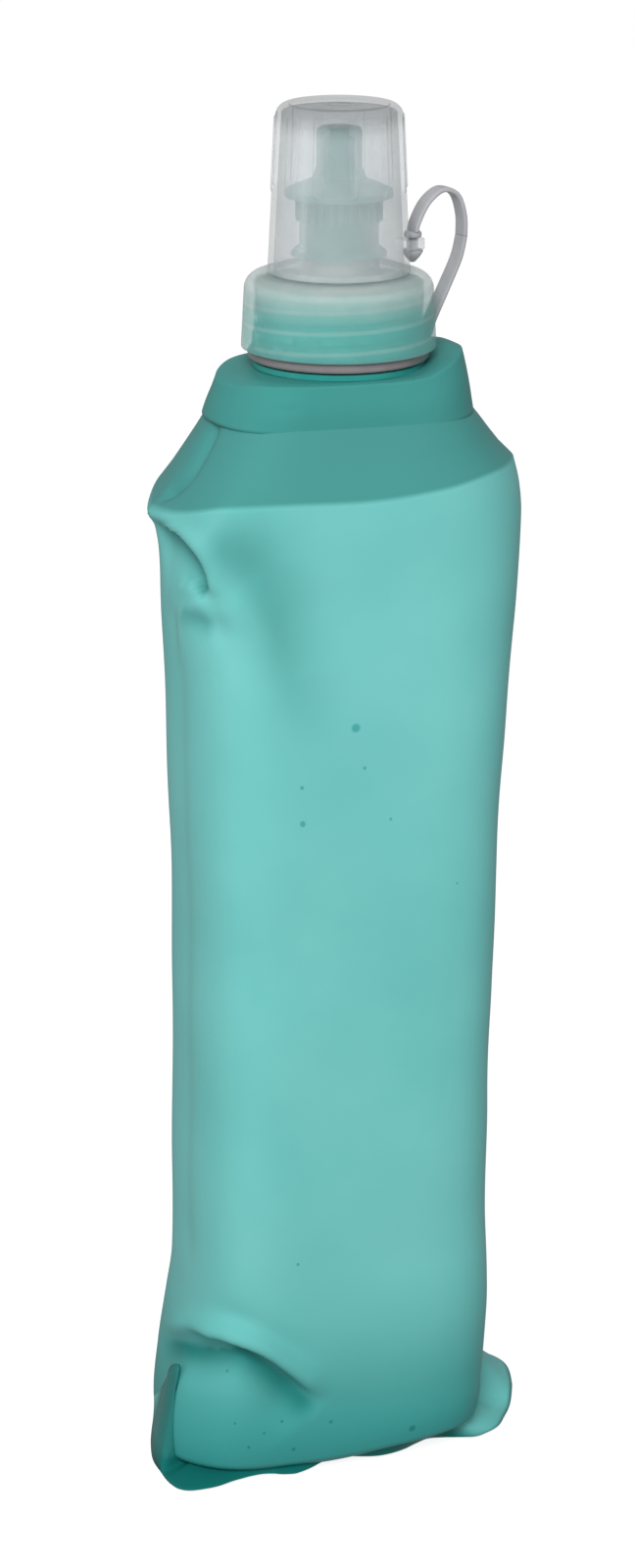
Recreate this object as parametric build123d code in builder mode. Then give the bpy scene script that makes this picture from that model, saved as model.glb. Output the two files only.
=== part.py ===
from build123d import *
import os
from math import cos, radians, sin

# A soft water flask with a screw closure, in millimetres: a bag of welded TPU film with a moulded
# neck, a tether ring, a screw collar that carries a push-pull nozzle, and a clear dust cover.
# +Z is up and the bag stands on z = 0. The origin is on the floor, on the axis of the neck.
# The front of the bag faces -Y. Azimuths are degrees about +Z, counted from +X.

# ---- clearances ----
loose_gap = 0.3         # between bodies that only lie near each other
seal_gap = 0.1          # between the neck's lip and the gasket
slide_gap = 0.05        # nozzle on its stem, nozzle's hole on its plug
thread_gap = 0.4        # radial room between the two threads' crests and roots
peg_gap = 0.2           # strap's stem in the cover's eye

# ---- bag ----
film = 0.5              # thickness of the TPU film
hem_width = 66.0        # weld hem round the base, side to side
hem_depth = 56.0        # weld hem, front to back
hem_corner = 17.0
foot_width = 55.0       # sleeve where it meets the hem
foot_depth = 44.0
foot_corner = 13.0
belly_height = 14.0
belly_width = 57.0
belly_depth = 47.0
belly_corner = 14.0
waist_height = 105.0    # narrowest part of the sleeve
waist_width = 54.0
waist_depth = 46.0
waist_corner = 14.0
chest_height = 148.0
chest_width = 56.0
chest_depth = 42.0
chest_corner = 12.0
crease_height = 182.0   # sharp crease where the sleeve turns in to the shoulder
crease_width = 62.0
crease_depth = 36.0
crease_corner = 11.0
shoulder_rise = 12.0    # height of the slanted shoulder above the crease
band_rise = 6.3         # height of the welded band of the top panel
band_flare = 2.1        # how far the band spreads from its top edge to its foot, each side

# ---- neck ----
mouth_radius = 11.0
neck_wall = 2.2
fitment_lip = 2.0       # weld flange of the neck, beyond its tube
fitment_thickness = 1.2
bead_lip = 1.7          # bead above the top panel that the ring rests on
bead_height = 1.0
rim_overhang_side = 6.5     # top panel beyond the weld flange, at the sides
rim_overhang_front = 2.3    # top panel beyond the weld flange, at front and back
rim_corner = 12.0

# ---- thread ----
thread_pitch = 3.5
thread_depth = 1.0
thread_root = 1.5       # width of a ridge at its root
thread_crest = 0.9      # width of a ridge at its crest
thread_bite = 0.3       # how deep a ridge is set into its wall
neck_turns = 1.75
collar_turns = 2.0
thread_start = 1.3      # first ridge above the collar's lower edge

# ---- tether ring and strap ----
ring_height = 1.7
ring_width = 2.15
ring_rounding = 0.6
strap_azimuth = 11.0
strap_width = 3.5
strap_thickness = 0.9
ring_tab = 0.9          # flat tab on the ring that the strap grows from
stem_radius = 0.8       # round stem of the strap in the cover's eye
barb_radius = 1.8
barb_height = 2.2
stop_radius = 1.5
stop_height = 0.9

# ---- strap's route beside the collar and the cover: a radius and a height for each point ----
strap_reach = 23.7      # where the strap is furthest out, from the neck's axis
strap_rise = 4.5        # height of that place above the collar's top
ring_knee = 1.5         # end of the level run from the ring, beyond the collar
collar_knee = (3.2, 4.8)        # beyond the collar, above its lower edge
crown_points = [(22.3, 12.2), (19.4, 13.2), (16.6, 11.4)]   # over the top, above the collar's top
outer_rise = 8.8        # end of the upright outer run, above the collar's top
inner_rise = 7.9        # start of the run down to the eye, above the collar's top
lower_bends = [1.0, 6.0, 8.0]
upper_bends = [4.0, 3.0, 3.0, 4.0, 4.0]

# ---- collar and nozzle ----
collar_height = 12.6
collar_wall = 2.2       # outside the thread's root, at the lower edge
collar_taper = 0.65     # loss of radius from the lower edge to the shoulder
collar_rounding = 2.75
collar_top = 1.6        # thickness of the top plate
gasket_thickness = 1.2
gasket_width = 4.0
window_count = 12       # shallow moulded pockets inside the lower edge
window_width = 2.0
window_height = 1.2
window_depth = 0.6
stem_outer = 5.6        # hollow stem that the nozzle slides on
stem_bore = 4.2
stem_height = 11.5
boss_radius = 6.9
boss_height = 2.7
plug_radius = 1.6       # solid plug that closes the nozzle's hole
spoke_count = 3
spoke_width = 1.2
spoke_height = 2.0
nozzle_wall = 1.15
nozzle_flare = 1.4      # finger edge round the nozzle's foot
nozzle_flare_height = 1.8
nozzle_skirt = 9.5      # foot to the inner ceiling
grip_lip_radius = 9.2
grip_lip_height = 1.7
tip_radius = 3.9
tip_bore = 2.6
tip_length = 10.6       # above the grip lip
tip_rounding = 0.8
knurl_count = 28
knurl_size = 0.7
knurl_height = 3.4
tip_land = 1.6          # length of the nozzle's hole
tip_step = 0.5          # sloped ends of the bore behind the hole
nozzle_travel = 2.0

# ---- dust cover ----
cover_foot_radius = 12.25
cover_top_radius = 10.75
cover_wall = 1.0
cover_roof = 0.9
cover_room = 0.8        # between the raised nozzle and the roof
roof_corner = 0.3       # chamfer where the wall meets the roof, inside
cover_rounding = 2.2
cover_recess_radius = 8.6
cover_recess = 0.4
gate_radius = 2.0       # moulding gate in the middle of the roof
gate_height = 0.2
rib_count = 12
rib_width = 1.6
rib_proud = 0.35
rib_foot = 13.9         # lower ends of the ribs, above the cover's foot
seat_height = 1.0       # low ring on the collar that the cover snaps over
seat_width = 0.9
eye_height = 3.5        # middle of the eye that holds the strap, above the cover's foot
eye_thickness = 1.7
eye_radius = 2.1
eye_reach = 1.95        # eye's centre beyond the cover's foot radius

# ---- levels and radii that follow ----
band_height = crease_height + shoulder_rise
rim_height = band_height + loose_gap + band_rise
neck_radius = mouth_radius + neck_wall
fitment_radius = neck_radius + fitment_lip
rim_width = 2 * (fitment_radius + rim_overhang_side)
rim_depth = 2 * (fitment_radius + rim_overhang_front)
band_width = rim_width + 2 * band_flare
band_depth = rim_depth + 2 * band_flare
ring_base = rim_height + bead_height + loose_gap
ring_inner = neck_radius + loose_gap
ring_outer = ring_inner + ring_width
collar_base = ring_base + ring_height + loose_gap
thread_level = collar_base + thread_start
collar_level = collar_base + collar_height
gasket_level = collar_level - collar_top
lip_level = gasket_level - gasket_thickness - seal_gap
crest_radius = neck_radius + thread_depth
root_radius = crest_radius + thread_gap
collar_radius = root_radius + collar_wall
shoulder_radius = collar_radius - collar_taper
nozzle_base = collar_level + boss_height + loose_gap
nozzle_inner = stem_outer + slide_gap
nozzle_outer = nozzle_inner + nozzle_wall
nozzle_ceiling = nozzle_base + nozzle_skirt
grip_top = nozzle_ceiling + grip_lip_height
tip_level = grip_top + tip_length
cover_base = collar_level + loose_gap
roof_level = tip_level + nozzle_travel + cover_room
cover_level = roof_level + cover_roof + cover_recess
cover_height = cover_level - cover_base
eye_level = cover_base + eye_height
eye_centre = cover_foot_radius + eye_reach


def side_plane(azimuth):
    """An upright plane on the neck's axis whose normal points outwards at this azimuth."""
    outwards = (cos(radians(azimuth)), sin(radians(azimuth)), 0)
    along = (-sin(radians(azimuth)), cos(radians(azimuth)), 0)
    return Plane(origin=(0, 0, 0), x_dir=along, z_dir=outwards)


def radial_plane(azimuth):
    """An upright plane that holds the neck's axis: its x is the radius and its y is the height."""
    outwards = (cos(radians(azimuth)), sin(radians(azimuth)), 0)
    across = (sin(radians(azimuth)), -cos(radians(azimuth)), 0)
    return Plane(origin=(0, 0, 0), x_dir=outwards, z_dir=across)


os.makedirs("parts", exist_ok=True)

# ---- base panel: the film disc that closes the bag, welded under the sleeve's hem ----
with BuildPart() as base_panel:
    with BuildSketch(Plane.XY):
        RectangleRounded(hem_width, hem_depth, hem_corner)
    extrude(amount=film)
base_panel.part.label = "base_panel"
export_step(base_panel.part, "parts/base_panel.step")

# ---- body sleeve: film tube with a flat hem at the foot, a sharp crease and a slanted shoulder ----
sleeve_sections = [
    (film, foot_width, foot_depth, foot_corner),
    (belly_height, belly_width, belly_depth, belly_corner),
    (waist_height, waist_width, waist_depth, waist_corner),
    (chest_height, chest_width, chest_depth, chest_corner),
    (crease_height, crease_width, crease_depth, crease_corner),
]
shoulder_sections = [
    (crease_height, crease_width, crease_depth, crease_corner),
    (band_height, band_width, band_depth, rim_corner),
]
with BuildPart() as body_sleeve:
    with BuildSketch(Plane.XY.offset(film)):
        RectangleRounded(hem_width, hem_depth, hem_corner)
    extrude(amount=film)
    for level, width, depth, corner in sleeve_sections:
        with BuildSketch(Plane.XY.offset(level)):
            RectangleRounded(width, depth, corner)
    loft()
    for level, width, depth, corner in shoulder_sections:
        with BuildSketch(Plane.XY.offset(level)):
            RectangleRounded(width, depth, corner)
    loft(ruled=True)
    for level, width, depth, corner in sleeve_sections:
        with BuildSketch(Plane.XY.offset(level)):
            RectangleRounded(width - 2 * film, depth - 2 * film, corner - film)
    loft(mode=Mode.SUBTRACT)
    for level, width, depth, corner in shoulder_sections:
        with BuildSketch(Plane.XY.offset(level)):
            RectangleRounded(width - 2 * film, depth - 2 * film, corner - film)
    loft(ruled=True, mode=Mode.SUBTRACT)
body_sleeve.part.label = "body_sleeve"
export_step(body_sleeve.part, "parts/body_sleeve.step")

# ---- shoulder panel: top film with its welded band and a hole for the neck ----
with BuildPart() as shoulder_panel:
    with BuildSketch(Plane.XY.offset(band_height + loose_gap)):
        RectangleRounded(band_width, band_depth, rim_corner)
    with BuildSketch(Plane.XY.offset(rim_height)):
        RectangleRounded(rim_width, rim_depth, rim_corner)
    loft(ruled=True)
    with BuildSketch(Plane.XY.offset(band_height + loose_gap)):
        RectangleRounded(band_width - 2 * film, band_depth - 2 * film, rim_corner - film)
    with BuildSketch(Plane.XY.offset(rim_height - film)):
        RectangleRounded(rim_width - 2 * film, rim_depth - 2 * film, rim_corner - film)
    loft(ruled=True, mode=Mode.SUBTRACT)
    with BuildSketch(Plane.XY.offset(rim_height - film)):
        Circle(neck_radius)
    extrude(amount=film, mode=Mode.SUBTRACT)
shoulder_panel.part.label = "shoulder_panel"
export_step(shoulder_panel.part, "parts/shoulder_panel.step")


def thread_path(radius, turns, start_azimuth):
    """A right-hand helix about the neck's axis that starts at this azimuth, level with the threads."""
    helix = Helix(thread_pitch, thread_pitch * turns, radius)
    return Pos(0, 0, thread_level) * Rot(0, 0, start_azimuth) * helix


# ---- neck: moulded spout with a weld flange, a bead and an outer thread ----
fitment_level = rim_height - film - fitment_thickness
neck_helix = thread_path(neck_radius, neck_turns, 0)
with BuildPart() as neck_spout:
    with BuildSketch(Plane.XY.offset(fitment_level)):
        Circle(fitment_radius)
    extrude(amount=fitment_thickness)
    with BuildSketch(Plane.XY.offset(fitment_level)):
        Circle(neck_radius)
    extrude(amount=lip_level - fitment_level)
    with BuildSketch(Plane.XY.offset(rim_height)):
        Circle(neck_radius + bead_lip)
    extrude(amount=bead_height)
    with BuildSketch(radial_plane(0)):
        with BuildLine():
            Polyline(
                (neck_radius - thread_bite, thread_level - thread_root / 2),
                (crest_radius, thread_level - thread_crest / 2),
                (crest_radius, thread_level + thread_crest / 2),
                (neck_radius - thread_bite, thread_level + thread_root / 2),
                close=True,
            )
        make_face()
    sweep(path=neck_helix, is_frenet=True)
    with BuildSketch(Plane.XY.offset(fitment_level)):
        Circle(mouth_radius)
    extrude(amount=lip_level - fitment_level, mode=Mode.SUBTRACT)
neck_spout.part.label = "neck_spout"
export_step(neck_spout.part, "parts/neck_spout.step")

# ---- tether ring: loose round the neck, between the bead and the collar ----
with BuildPart() as tether_ring:
    with BuildSketch(Plane.XY.offset(ring_base)):
        Circle(ring_outer)
        Circle(ring_inner, mode=Mode.SUBTRACT)
    extrude(amount=ring_height)
    fillet(tether_ring.edges().filter_by(GeomType.CIRCLE).group_by(SortBy.RADIUS)[-1], ring_rounding)
    with BuildSketch(radial_plane(strap_azimuth)):
        with Locations((ring_outer, ring_base + ring_height / 2)):
            Rectangle(2 * ring_tab, strap_thickness)
    extrude(amount=strap_width / 2, both=True)
tether_ring.part.label = "tether_ring"
export_step(tether_ring.part, "parts/tether_ring.step")

# ---- collar: screw cap with its inner thread, hollow stem and plug ----
collar_helix = thread_path(root_radius, collar_turns, 180)
with BuildPart() as collar:
    with BuildSketch(Plane.XZ):
        with BuildLine():
            Polyline(
                (0, collar_base),
                (collar_radius, collar_base),
                (shoulder_radius, collar_level),
                (0, collar_level),
                close=True,
            )
        make_face()
    revolve(axis=Axis.Z)
    fillet(collar.edges().filter_by(GeomType.CIRCLE).group_by(Axis.Z)[-1], collar_rounding)
    with BuildSketch(Plane.XY.offset(collar_level)):
        Circle(boss_radius)
    extrude(amount=boss_height)
    with BuildSketch(Plane.XY.offset(collar_level)):
        Circle(cover_foot_radius - cover_wall - loose_gap)
        Circle(cover_foot_radius - cover_wall - loose_gap - seat_width, mode=Mode.SUBTRACT)
    extrude(amount=seat_height)
    with BuildSketch(Plane.XY.offset(collar_level)):
        Circle(stem_outer)
    extrude(amount=stem_height)
    with BuildSketch(Plane.XY.offset(collar_base)):
        Circle(root_radius)
    extrude(amount=gasket_level - collar_base, mode=Mode.SUBTRACT)
    with BuildSketch(Plane.XY.offset(gasket_level)):
        Circle(stem_bore)
    extrude(amount=collar_top + stem_height, mode=Mode.SUBTRACT)
    with BuildSketch(Plane.XY.offset(collar_level + stem_height - 2 * spoke_height)):
        with PolarLocations(stem_bore / 2, spoke_count):
            Rectangle(stem_bore + spoke_width, spoke_width)
        Circle(plug_radius)
    extrude(amount=spoke_height)
    with BuildSketch(Plane.XY.offset(collar_level + stem_height - 2 * spoke_height)):
        Circle(plug_radius)
    extrude(amount=tip_level - collar_level - stem_height + 2 * spoke_height)
    with BuildSketch(radial_plane(180)):
        with BuildLine():
            Polyline(
                (root_radius + thread_bite, thread_level - thread_root / 2),
                (root_radius - thread_depth, thread_level - thread_crest / 2),
                (root_radius - thread_depth, thread_level + thread_crest / 2),
                (root_radius + thread_bite, thread_level + thread_root / 2),
                close=True,
            )
        make_face()
    sweep(path=collar_helix, is_frenet=True)
    with BuildSketch(Plane.XY.offset(collar_base + window_height / 2)):
        with PolarLocations(root_radius, window_count):
            Rectangle(2 * window_depth, window_width)
    extrude(amount=window_height, mode=Mode.SUBTRACT)
collar.part.label = "collar"
export_step(collar.part, "parts/collar.step")

# ---- gasket: washer under the collar's top plate ----
with BuildPart() as cap_gasket:
    with BuildSketch(Plane.XY.offset(gasket_level - gasket_thickness)):
        Circle(crest_radius)
        Circle(crest_radius - gasket_width, mode=Mode.SUBTRACT)
    extrude(amount=gasket_thickness)
cap_gasket.part.label = "cap_gasket"
export_step(cap_gasket.part, "parts/cap_gasket.step")

# ---- nozzle: push-pull sleeve on the stem, with a finger lip, a knurled drum and a narrow tip ----
drum_radius = nozzle_outer + knurl_size
knurl_level = nozzle_ceiling - knurl_height
with BuildPart() as nozzle:
    with BuildSketch(Plane.XZ):
        with BuildLine():
            Polyline(
                (nozzle_inner, nozzle_base),
                (nozzle_outer + nozzle_flare, nozzle_base),
                (nozzle_outer + nozzle_flare, nozzle_base + nozzle_flare_height / 3),
                (nozzle_outer, nozzle_base + nozzle_flare_height),
                (nozzle_outer, nozzle_ceiling),
                (grip_lip_radius, nozzle_ceiling + grip_lip_height / 3),
                (grip_lip_radius, grip_top),
                (tip_radius + tip_rounding, grip_top + tip_radius / 2),
                (tip_radius, grip_top + tip_radius),
                (tip_radius, tip_level),
                (plug_radius + slide_gap, tip_level),
                (plug_radius + slide_gap, tip_level - tip_land),
                (tip_bore, tip_level - tip_land - tip_step),
                (tip_bore, nozzle_ceiling + tip_step),
                (nozzle_inner, nozzle_ceiling),
                close=True,
            )
        make_face()
    revolve(axis=Axis.Z)
    with BuildSketch(Plane.XY.offset(knurl_level)):
        with PolarLocations(nozzle_outer, knurl_count):
            Rectangle(2 * knurl_size, knurl_size)
    extrude(amount=knurl_height)
    tip_edges = nozzle.edges().filter_by(GeomType.CIRCLE).group_by(Axis.Z)[-1]
    fillet(tip_edges.group_by(SortBy.RADIUS)[-1], tip_rounding)
nozzle.part.label = "nozzle"
export_step(nozzle.part, "parts/nozzle.step")


def cover_radius(level):
    """Outer radius of the cover's plain wall at this level."""
    share = (level - cover_base) / cover_height
    return cover_foot_radius + (cover_top_radius - cover_foot_radius) * share


# ---- rib bars: upright bars that the cover's raised ribs are cut from ----
rib_base = cover_base + rib_foot
with BuildPart() as rib_bars:
    for index in range(rib_count):
        rib_azimuth = strap_azimuth + (index + 0.5) * 360 / rib_count
        with BuildSketch(side_plane(rib_azimuth)):
            with Locations((0, rib_base + cover_height / 2)):
                SlotOverall(cover_height, rib_width, rotation=90)
        extrude(amount=2 * cover_foot_radius)

# ---- ribs: the bars kept only where they stand proud of the cover's wall ----
with BuildPart() as rib_shell:
    with BuildSketch(Plane.XZ):
        with BuildLine():
            Polyline(
                (cover_radius(rib_base) - cover_wall / 2, rib_base),
                (cover_radius(rib_base) + rib_proud, rib_base),
                (cover_radius(cover_level - cover_rounding) + rib_proud, cover_level - cover_rounding),
                (cover_radius(cover_level - cover_rounding) - cover_wall / 2, cover_level - cover_rounding / 2),
                close=True,
            )
        make_face()
    revolve(axis=Axis.Z)
    add(rib_bars.part, mode=Mode.INTERSECT)

# ---- dust cover: clear cup with ribs, a recessed roof and an eye for the strap ----
with BuildPart() as dust_cover:
    with BuildSketch(Plane.XZ):
        with BuildLine():
            Polyline(
                (0, cover_base),
                (cover_foot_radius, cover_base),
                (cover_top_radius, cover_level),
                (0, cover_level),
                close=True,
            )
        make_face()
    revolve(axis=Axis.Z)
    fillet(dust_cover.edges().filter_by(GeomType.CIRCLE).group_by(Axis.Z)[-1], cover_rounding)
    add(rib_shell.part)
    with BuildSketch(radial_plane(strap_azimuth)):
        with Locations((eye_centre / 2, eye_level)):
            Rectangle(eye_centre, eye_thickness)
    extrude(amount=eye_radius, both=True)
    with BuildSketch(Plane.XY.offset(eye_level - eye_thickness / 2)):
        with PolarLocations(eye_centre, 1, start_angle=strap_azimuth):
            Circle(eye_radius)
    extrude(amount=eye_thickness)
    with BuildSketch(Plane.XY.offset(eye_level - eye_thickness / 2)):
        with PolarLocations(eye_centre, 1, start_angle=strap_azimuth):
            Circle(stem_radius + peg_gap)
    extrude(amount=eye_thickness, mode=Mode.SUBTRACT)
    with BuildSketch(Plane.XZ):
        with BuildLine():
            Polyline(
                (0, cover_base),
                (cover_foot_radius - cover_wall, cover_base),
                (cover_radius(roof_level) - cover_wall, roof_level - roof_corner),
                (cover_radius(roof_level) - cover_wall - roof_corner, roof_level),
                (0, roof_level),
                close=True,
            )
        make_face()
    revolve(axis=Axis.Z, mode=Mode.SUBTRACT)
    with BuildSketch(Plane.XY.offset(cover_level - cover_recess)):
        Circle(cover_recess_radius)
        Circle(gate_radius, mode=Mode.SUBTRACT)
    extrude(amount=cover_recess, mode=Mode.SUBTRACT)
    with BuildSketch(Plane.XY.offset(cover_level - cover_recess + gate_height)):
        Circle(gate_radius)
    extrude(amount=cover_recess, mode=Mode.SUBTRACT)
dust_cover.part.label = "dust_cover"
export_step(dust_cover.part, "parts/dust_cover.step")

# ---- strap: a moulded ribbon from the ring, out past the collar, over and down to the cover's eye ----
# Its route is in the radial plane: each point is a radius and a height.
strap_root = (ring_outer + ring_tab, ring_base + ring_height / 2)
strap_turn = (strap_reach, collar_level + strap_rise)
strap_end = (eye_centre, eye_level + eye_thickness / 2 + peg_gap + stop_height)
lower_route = [
    strap_root,
    (collar_radius + ring_knee, ring_base + ring_height / 2),
    (collar_radius + collar_knee[0], collar_base + collar_knee[1]),
    (strap_reach, collar_level),
    strap_turn,
]
upper_route = [
    strap_turn,
    (strap_reach, collar_level + outer_rise),
    *[(radius, collar_level + rise) for radius, rise in crown_points],
    (eye_centre, collar_level + inner_rise),
    strap_end,
]

with BuildPart() as strap_lower:
    with BuildSketch(radial_plane(strap_azimuth)):
        with BuildLine():
            lower_line = FilletPolyline(*lower_route, radius=lower_bends)
        trace(line_width=strap_thickness)
    extrude(amount=strap_width / 2, both=True)
strap_lower.part.label = "strap_lower"
export_step(strap_lower.part, "parts/strap_lower.step")

with BuildPart() as strap_upper:
    with BuildSketch(radial_plane(strap_azimuth)):
        with BuildLine():
            upper_line = FilletPolyline(*upper_route, radius=upper_bends)
        trace(line_width=strap_thickness)
    extrude(amount=strap_width / 2, both=True)
    with BuildSketch(Plane.XY.offset(strap_end[1] - stop_height)):
        with PolarLocations(eye_centre, 1, start_angle=strap_azimuth):
            Circle(stop_radius)
    extrude(amount=stop_height)
    barb_level = eye_level - eye_thickness / 2 - peg_gap
    with BuildSketch(Plane.XY.offset(barb_level)):
        with PolarLocations(eye_centre, 1, start_angle=strap_azimuth):
            Circle(stem_radius)
    extrude(amount=strap_end[1] - barb_level)
    with BuildSketch(Plane.XY.offset(barb_level)):
        with PolarLocations(eye_centre, 1, start_angle=strap_azimuth):
            Circle(barb_radius)
    with BuildSketch(Plane.XY.offset(barb_level - barb_height)):
        with PolarLocations(eye_centre, 1, start_angle=strap_azimuth):
            Circle(stem_radius / 2)
    loft()
strap_upper.part.label = "strap_upper"
export_step(strap_upper.part, "parts/strap_upper.step")
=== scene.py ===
"""Looks for a soft water flask: a welded bag of teal TPU film, a frosted screw collar, a push-pull
nozzle and a clear dust cover on a tether strap. Sizes in the tables are millimetres, +Z is up and
the neck's axis is x = y = 0."""
from math import acos, atan2, cos, exp, pi, radians, sin, tau

import bmesh
import bpy
from mathutils import Matrix, Vector, geometry, noise


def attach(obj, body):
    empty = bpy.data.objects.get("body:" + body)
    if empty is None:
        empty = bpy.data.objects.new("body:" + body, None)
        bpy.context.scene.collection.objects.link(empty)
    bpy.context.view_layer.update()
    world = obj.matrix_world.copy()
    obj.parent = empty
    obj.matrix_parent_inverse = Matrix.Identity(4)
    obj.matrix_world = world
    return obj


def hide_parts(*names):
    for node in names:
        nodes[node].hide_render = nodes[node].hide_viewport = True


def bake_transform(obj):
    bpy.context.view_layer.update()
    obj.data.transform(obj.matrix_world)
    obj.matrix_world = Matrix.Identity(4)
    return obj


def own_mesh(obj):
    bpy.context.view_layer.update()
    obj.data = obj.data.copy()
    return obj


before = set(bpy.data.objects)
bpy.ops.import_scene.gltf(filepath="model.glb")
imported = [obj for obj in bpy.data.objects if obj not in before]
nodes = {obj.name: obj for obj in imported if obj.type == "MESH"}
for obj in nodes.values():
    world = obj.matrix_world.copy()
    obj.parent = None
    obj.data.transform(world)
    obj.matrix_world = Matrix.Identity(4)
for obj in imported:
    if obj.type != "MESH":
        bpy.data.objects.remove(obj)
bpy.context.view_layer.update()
MM = 0.001

# ---- sizes that the modelled pieces share ----
FILM = 0.5                  # thickness of the TPU film
SLEEVE_FOOT = 1.0           # level where the sleeve leaves its hem
CREASE = 181.0              # level of the crease in the middle of the front
SLEEVE_TOP = 193.8          # upper edge of the sleeve, under the band
BAND_FOOT = 192.4           # lower edge of the welded band
RIM = 200.3                 # upper edge of the band
NECK_HOLE = 13.35           # radius of the hole in the top film


# ============================ camera and light ============================

HEADING = radians(15.5)     # the camera stands this far to the left of straight in front
LOOK = Vector((sin(HEADING), cos(HEADING), 0))
RIGHT = Vector((cos(HEADING), -sin(HEADING), 0))
# how far the camera is back from the neck's axis, to its left and up, in metres
CAMERA_BACK, CAMERA_LEFT, CAMERA_HEIGHT = 0.700, 0.00347, 0.348
CAMERA_DIP, CAMERA_ROLL = radians(17.7), radians(0.12)
LENS, SENSOR = 94.95, 36
ROOM_LIGHT = 0.36           # strength of the even light from all round


def place_camera():
    """A long lens from above and a little to the left."""
    data = bpy.data.cameras.new("camera")
    data.lens = LENS
    data.sensor_width = SENSOR
    camera = bpy.data.objects.new("camera", data)
    bpy.context.scene.collection.objects.link(camera)
    place = -CAMERA_BACK * LOOK - CAMERA_LEFT * RIGHT + Vector((0, 0, CAMERA_HEIGHT))
    turn = Matrix.Rotation(-HEADING, 4, "Z") @ Matrix.Rotation(radians(90) - CAMERA_DIP, 4, "X")
    camera.matrix_world = Matrix.Translation(place) @ turn @ Matrix.Rotation(CAMERA_ROLL, 4, "Z")
    bpy.context.scene.camera = camera


def softbox(name, azimuth, height, distance, size, watts, aim=0.11):
    """A soft light of this size in metres, this many degrees round from the camera's own side, aimed at
    a height on the neck's axis."""
    data = bpy.data.lights.new(name, "AREA")
    data.shape = "RECTANGLE"
    data.size, data.size_y = size
    data.energy = watts
    light = bpy.data.objects.new(name, data)
    bpy.context.scene.collection.objects.link(light)
    side = Matrix.Rotation(radians(azimuth), 3, "Z") @ -LOOK
    light.location = side * distance + Vector((0, 0, height))
    gaze = Vector((0, 0, aim)) - light.location
    light.rotation_euler = gaze.to_track_quat("-Z", "Y").to_euler()
    return light


def light_the_set():
    """A broad softbox beside the camera, a thin strip for the cover's glare, a weak top light, and even
    light from all round."""
    key = softbox("front softbox", -6, 0.74, 0.95, (0.40, 0.40), 9.6)
    # hidden from glossy rays, because its broad shape would show as a band in the clear cover
    key.visible_glossy = False
    softbox("left strip for the cover", -64, 0.26, 0.7, (0.035, 0.30), 0.34, aim=0.225)
    softbox("top light", 180, 0.95, 0.25, (0.5, 0.5), 0.5, aim=0.2)
    world = bpy.data.worlds.new("studio")
    bpy.context.scene.world = world
    world.use_nodes = True
    world.node_tree.nodes["Background"].inputs["Color"].default_value = to_linear("#FFFFFF")
    world.node_tree.nodes["Background"].inputs["Strength"].default_value = ROOM_LIGHT
    bpy.context.scene.view_settings.view_transform = "Standard"


# ============================ materials ============================

def to_linear(hex_colour):
    """A colour written as sRGB hex, as the linear values that the shaders use."""
    channels = [int(hex_colour[i:i + 2], 16) / 255 for i in (1, 3, 5)]
    return tuple(c / 12.92 if c <= 0.04045 else ((c + 0.055) / 1.055) ** 2.4 for c in channels) + (1.0,)


def add_node(tree, kind, settings=None, values=None, **links):
    """Adds one node: its settings, the values of its inputs, and the sockets linked to its inputs, each
    under its input's name, or under i and its input's number where names repeat."""
    node = tree.nodes.new(kind)
    for key, value in (settings or {}).items():
        setattr(node, key, value)
    for key, value in (values or {}).items():
        node.inputs[key].default_value = value
    for key, socket in links.items():
        slot = int(key[1:]) if key[0] == "i" and key[1:].isdigit() else key.replace("_", " ")
        tree.links.new(socket, node.inputs[slot])
    return node


def new_material(name, **values):
    """A material with one Principled shader, its plain values set on the shader's own sockets."""
    material = bpy.data.materials.new(name)
    material.use_nodes = True
    shader = material.node_tree.nodes["Principled BSDF"]
    for key, value in values.items():
        shader.inputs[key.replace("_", " ")].default_value = value
    return material, material.node_tree, shader


# the flat sheet that the film's patterns are drawn on: around the bag, and up it
FILM_AROUND, FILM_UP = 190.0, 200.0
CLOUD = 28.0                # size of the thicker clouds in the film
PEEL = 1.1                  # size of the roller's orange peel
PEEL_RELIEF = 0.4           # height that its bumps are drawn from, faded by their strength
PAINTED_SHADE_TEAL = "#1F7B76"    # the colour of the painted shade in the folds' creases and recesses
BUBBLE_TINT = "#AEDADA"      # what a bubble takes from the film's colour
BUBBLE_EDGE = 1.25, 0.55    # where a bubble starts to show and shows in full, as shares of its radius
# bubbles caught in the film of the bag's front: across from the middle, level, and radius
BUBBLES = [
    (-3.0, 141.8, 0.85), (-1.4, 134.5, 0.35), (-12.6, 131.9, 0.4), (-12.5, 125.4, 0.6), (3.3, 124.9, 0.3),
    (-13.4, 43.2, 0.35), (8.5, 6.6, 0.8), (-26.5, 21.7, 0.35), (-7.0, 11.1, 0.35), (-19.4, 10.2, 0.3),
    (-22.2, 7.7, 0.35), (-13.9, 6.4, 0.4), (-16.0, 12.0, 0.3), (-24.6, 12.5, 0.3), (15.5, 112.0, 0.25),
]


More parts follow.
